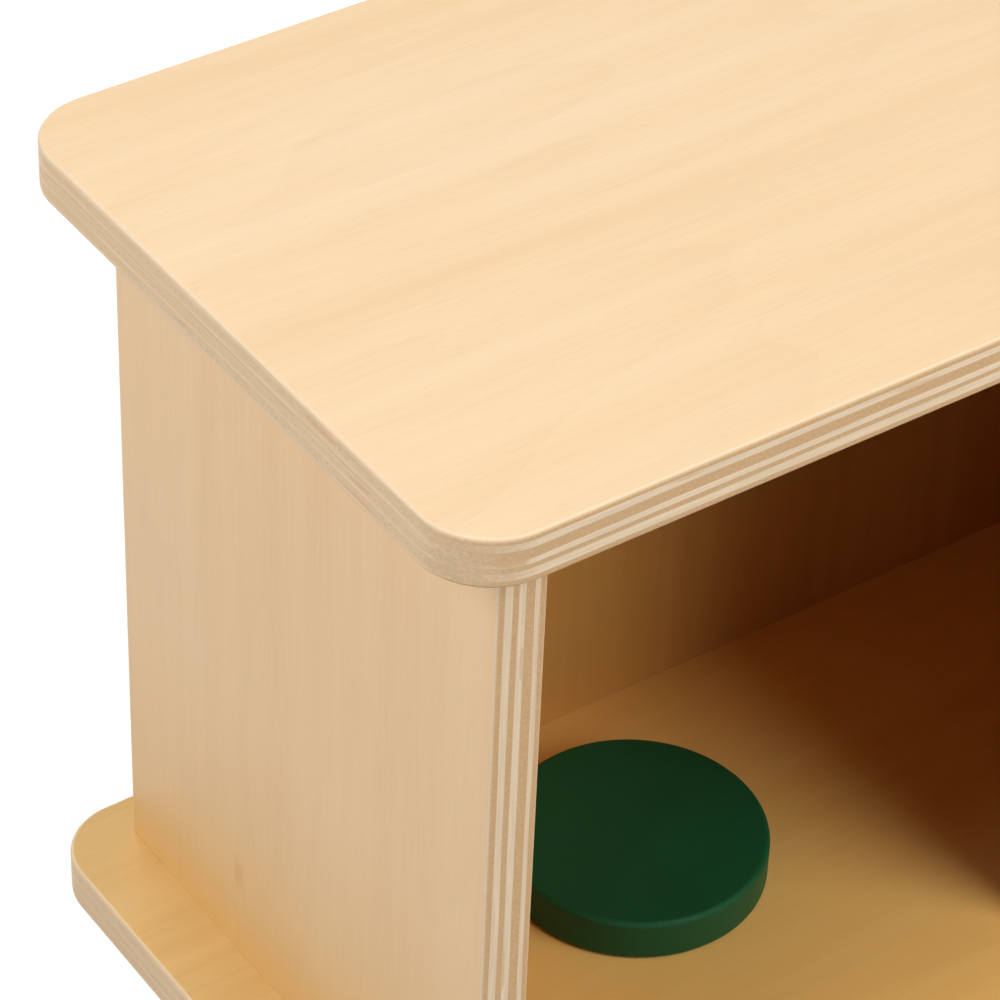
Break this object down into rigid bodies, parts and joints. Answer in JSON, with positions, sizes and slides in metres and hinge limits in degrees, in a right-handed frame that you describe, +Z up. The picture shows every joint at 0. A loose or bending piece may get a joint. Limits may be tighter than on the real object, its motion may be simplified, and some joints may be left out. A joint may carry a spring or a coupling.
{
  "type": "object permanence box",
  "caption": "Low plywood toy box with round-cornered boards, an open half and a closed half under a drop slot, and one painted wooden disc.",
  "frame": {"origin": "middle of the underside of the base board", "axes": "+X to the right along the long side, +Y to the rear, +Z up; the open half of the front is on the -X side and faces -Y"},
  "size_m": [0.36, 0.169, 0.216],
  "materials": {
    "birch_plywood": "satin",
    "painted_disc": "satin",
    "beech": "matte",
    "zinc_steel": "satin"
  },
  "bodies": {
    "box": {"base_board": "birch_plywood", "top_board": "birch_plywood", "left_side_panel": "birch_plywood", "right_side_panel": "birch_plywood", "back_panel": "birch_plywood", "front_panel": "birch_plywood", "left_top_dowels": "beech", "right_top_dowels": "beech", "back_top_dowels": "beech", "front_top_dowels": "beech", "back_left_dowels": "beech", "back_right_dowels": "beech", "front_right_dowels": "beech", "left_base_screws": "zinc_steel", "right_base_screws": "zinc_steel", "back_base_screws": "zinc_steel", "front_base_screws": "zinc_steel"},
    "disc": {"drop_disc": "painted_disc"}
  },
  "joints": [
    {"name": "disc_out", "type": "slide", "parent": "box", "child": "disc", "axis": [0, -1, 0], "range_m": [0, 0.13]}
  ]
}
